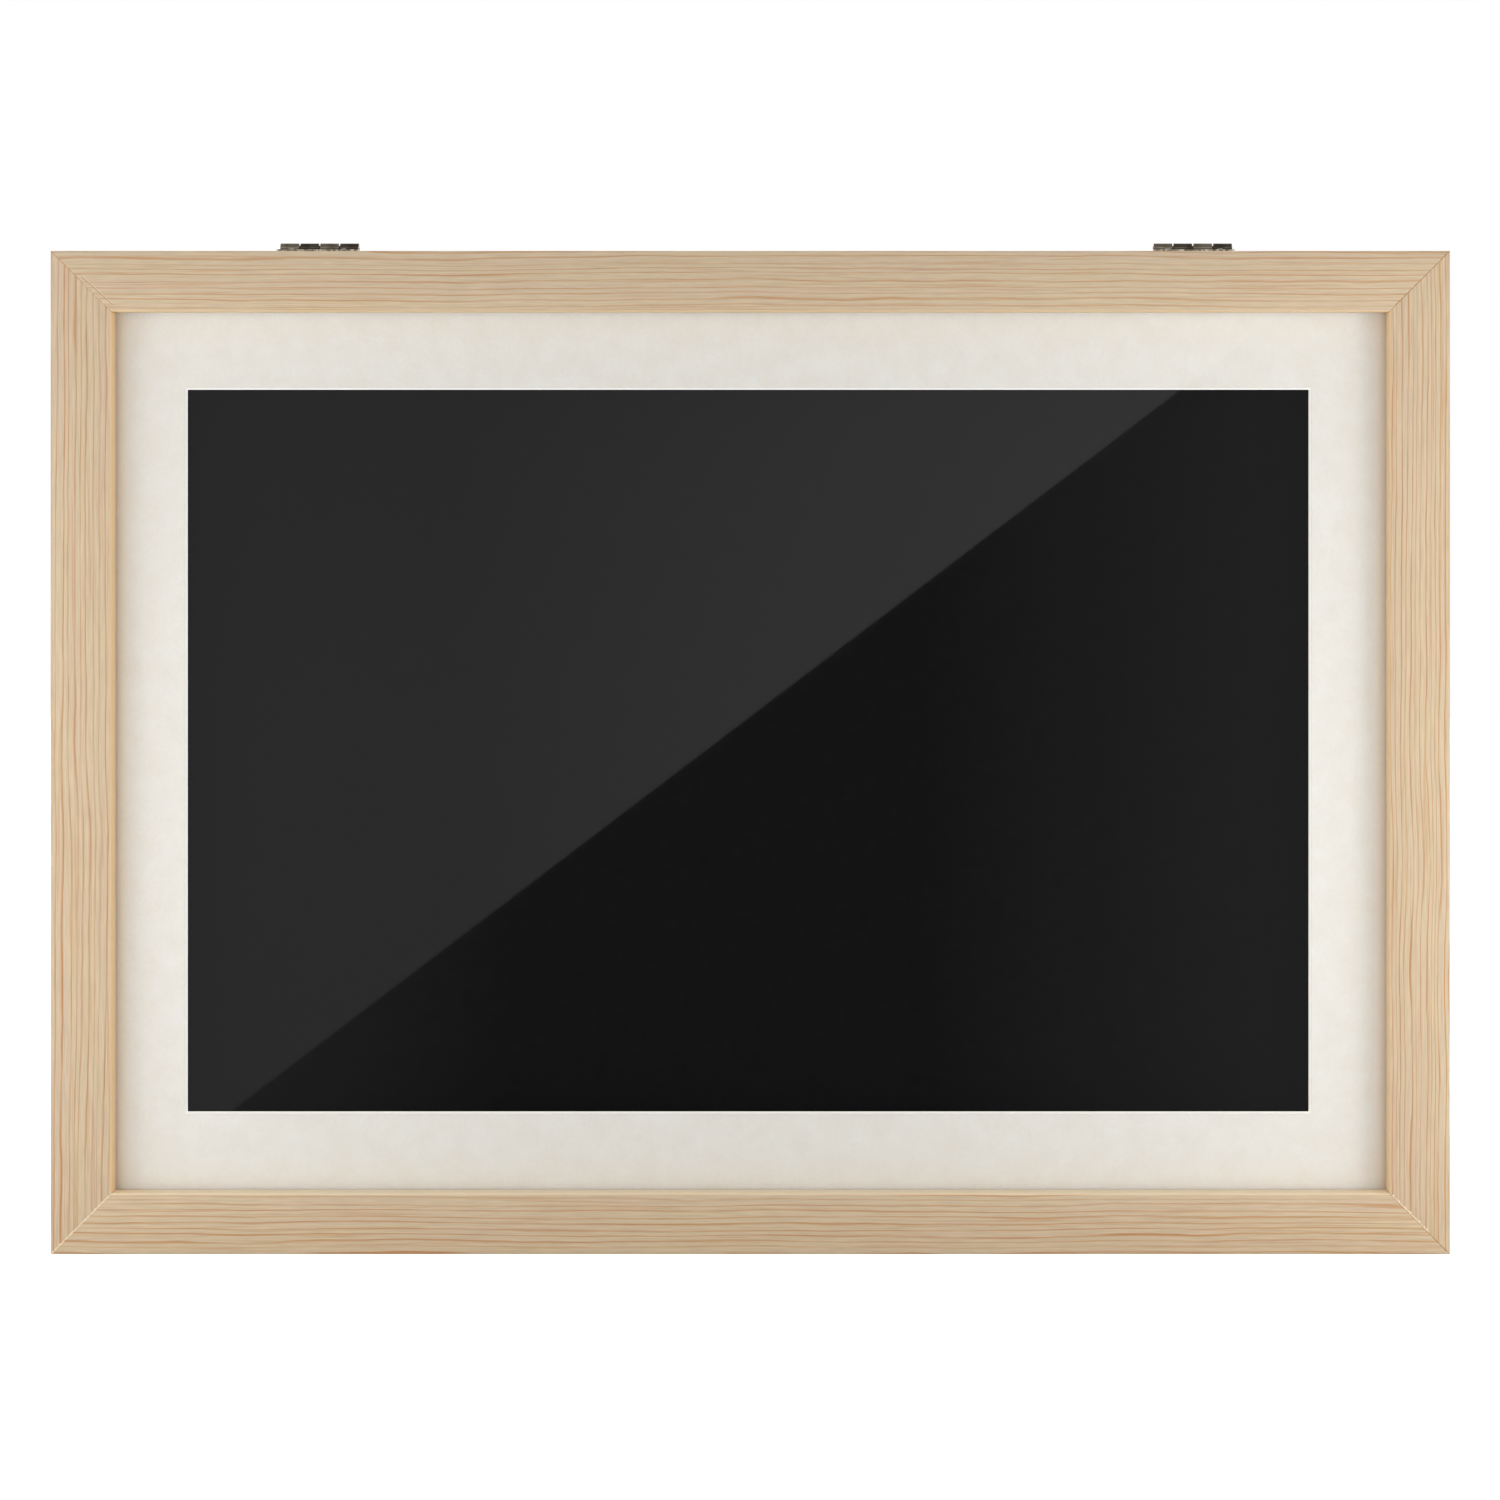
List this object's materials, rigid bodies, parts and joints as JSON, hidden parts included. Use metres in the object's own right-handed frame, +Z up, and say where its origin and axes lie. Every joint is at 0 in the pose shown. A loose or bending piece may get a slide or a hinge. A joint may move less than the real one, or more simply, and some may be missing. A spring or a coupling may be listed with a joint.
{
  "type": "front-opening art frame",
  "caption": "Wooden wall frame whose glazed and matted door hinges up at the top edge, over a shallow case that stores a stack of drawings.",
  "frame": {"origin": "under the middle of the frame's width and depth, on the surface that its bottom edge stands on", "axes": "+X along the width to the viewer's right, the front faces -Y, +Z up"},
  "size_m": [0.53, 0.0414, 0.3839],
  "materials": {
    "wood_grain_wrap": "satin",
    "clear_acrylic": "gloss",
    "cream_mat_board": "matte",
    "black_foam_board": "matte",
    "hardboard": "matte",
    "bronzed_steel": "satin",
    "nickel_plate": "polished",
    "zinc_plated_steel": "satin",
    "brass_plated_steel": "satin",
    "grey_felt": "matte"
  },
  "bodies": {
    "case": {"case_top_rail": "wood_grain_wrap", "case_bottom_rail": "wood_grain_wrap", "case_left_rail": "wood_grain_wrap", "case_right_rail": "wood_grain_wrap", "back_panel": "hardboard", "backing_pad": "black_foam_board", "tray_insert": "black_foam_board", "panel_point_top_1": "zinc_plated_steel", "panel_point_top_2": "zinc_plated_steel", "panel_point_bottom_1": "zinc_plated_steel", "panel_point_bottom_2": "zinc_plated_steel", "panel_point_left_1": "zinc_plated_steel", "panel_point_left_2": "zinc_plated_steel", "panel_point_right_1": "zinc_plated_steel", "panel_point_right_2": "zinc_plated_steel", "hinge_left_back_leaf": "bronzed_steel", "hinge_left_pin": "bronzed_steel", "hinge_left_back_screw_1": "nickel_plate", "hinge_left_back_screw_2": "nickel_plate", "hinge_right_back_leaf": "bronzed_steel", "hinge_right_pin": "bronzed_steel", "hinge_right_back_screw_1": "nickel_plate", "hinge_right_back_screw_2": "nickel_plate", "magnet_left": "nickel_plate", "magnet_right": "nickel_plate", "hanger_left": "brass_plated_steel", "hanger_right": "brass_plated_steel", "hanger_left_nail_1": "zinc_plated_steel", "hanger_left_nail_2": "zinc_plated_steel", "hanger_right_nail_1": "zinc_plated_steel", "hanger_right_nail_2": "zinc_plated_steel", "wall_bumper_left": "grey_felt", "wall_bumper_right": "grey_felt"},
    "door": {"door_top_rail": "wood_grain_wrap", "door_bottom_rail": "wood_grain_wrap", "door_left_rail": "wood_grain_wrap", "door_right_rail": "wood_grain_wrap", "glazing_sheet": "clear_acrylic", "window_mat": "cream_mat_board", "door_point_top_1": "zinc_plated_steel", "door_point_top_2": "zinc_plated_steel", "door_point_bottom_1": "zinc_plated_steel", "door_point_bottom_2": "zinc_plated_steel", "door_point_left_1": "zinc_plated_steel", "door_point_left_2": "zinc_plated_steel", "door_point_right_1": "zinc_plated_steel", "door_point_right_2": "zinc_plated_steel", "hinge_left_front_leaf": "bronzed_steel", "hinge_left_front_screw_1": "nickel_plate", "hinge_left_front_screw_2": "nickel_plate", "hinge_right_front_leaf": "bronzed_steel", "hinge_right_front_screw_1": "nickel_plate", "hinge_right_front_screw_2": "nickel_plate", "strike_left": "zinc_plated_steel", "strike_right": "zinc_plated_steel"}
  },
  "joints": [
    {"name": "door_hinge", "type": "hinge", "parent": "case", "child": "door", "pos_m": [0, -0.00355, 0.38205], "axis": [-1, 0, 0], "range_deg": [0, 180]}
  ]
}
